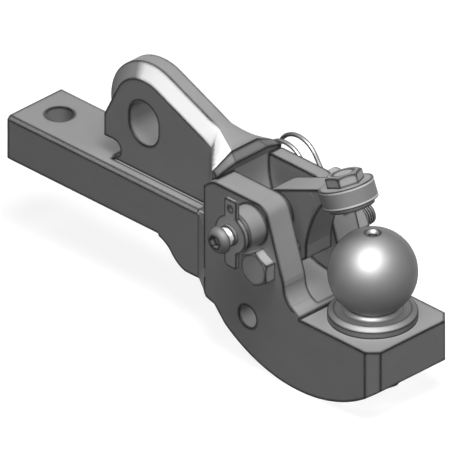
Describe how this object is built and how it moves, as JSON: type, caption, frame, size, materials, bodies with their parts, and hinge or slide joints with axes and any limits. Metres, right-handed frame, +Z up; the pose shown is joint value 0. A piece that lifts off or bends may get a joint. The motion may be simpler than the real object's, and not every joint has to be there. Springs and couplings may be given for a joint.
{
  "type": "pick-up hitch insert",
  "caption": "Tractor pick-up hitch insert: slide-in shank with lifting eye, cheeks, tow ball on a platform and a swinging hold-down arm.",
  "frame": {"origin": "centre of the tow ball", "axes": "+X along the shank towards the ball end, +Y to the side of the linch pin, +Z up"},
  "size_m": [0.469, 0.1771, 0.2223],
  "materials": {
    "forged_body": "satin grey coat",
    "forged_arm": "satin grey coat",
    "ball_steel": "turned and polished",
    "bolt_steel": "dull plated",
    "plate_steel": "stamped and plated",
    "pin_steel": "ground",
    "spring_steel": "bright drawn wire",
    "bush_brass": "plain"
  },
  "bodies": {
    "insert": {"shank": "forged_body", "lifting_lug": "forged_body", "cheek_housing": "forged_body", "ball_platform": "forged_body", "tow_ball": "ball_steel", "ball_washer": "bolt_steel", "ball_nut": "bolt_steel", "stop_bolt": "bolt_steel", "stop_bolt_nut": "bolt_steel", "pivot_pin": "pin_steel", "pin_washer": "plate_steel", "plate_spring": "spring_steel", "button_screw": "bolt_steel", "spring_cup": "bolt_steel", "head_washer": "bolt_steel", "linch_pin": "pin_steel"},
    "hold_down": {"hold_down_arm": "forged_arm", "arm_bush_near": "bush_brass", "arm_bush_far": "bush_brass", "lock_nut": "bolt_steel"},
    "pressure": {"pressure_screw": "bolt_steel"},
    "catch": {"catch_plate": "plate_steel"},
    "bow": {"linch_ring": "spring_steel"}
  },
  "joints": [
    {"name": "hold_down_swing", "type": "hinge", "parent": "insert", "child": "hold_down", "pos_m": [-0.0998, 0, 0.0282], "axis": [0, 1, 0], "range_deg": [-75, 0]},
    {"name": "pressure_adjust", "type": "slide", "parent": "hold_down", "child": "pressure", "axis": [0.3746, 0, -0.9272], "range_m": [0, 0.008]},
    {"name": "catch_turn", "type": "hinge", "parent": "insert", "child": "catch", "pos_m": [-0.0998, 0, 0.0282], "axis": [0, 1, 0], "range_deg": [0, 90]},
    {"name": "bow_swing", "type": "hinge", "parent": "insert", "child": "bow", "pos_m": [-0.1173, 0.048, 0.0282], "axis": [0, 1, 0], "range_deg": [0, 50]}
  ]
}
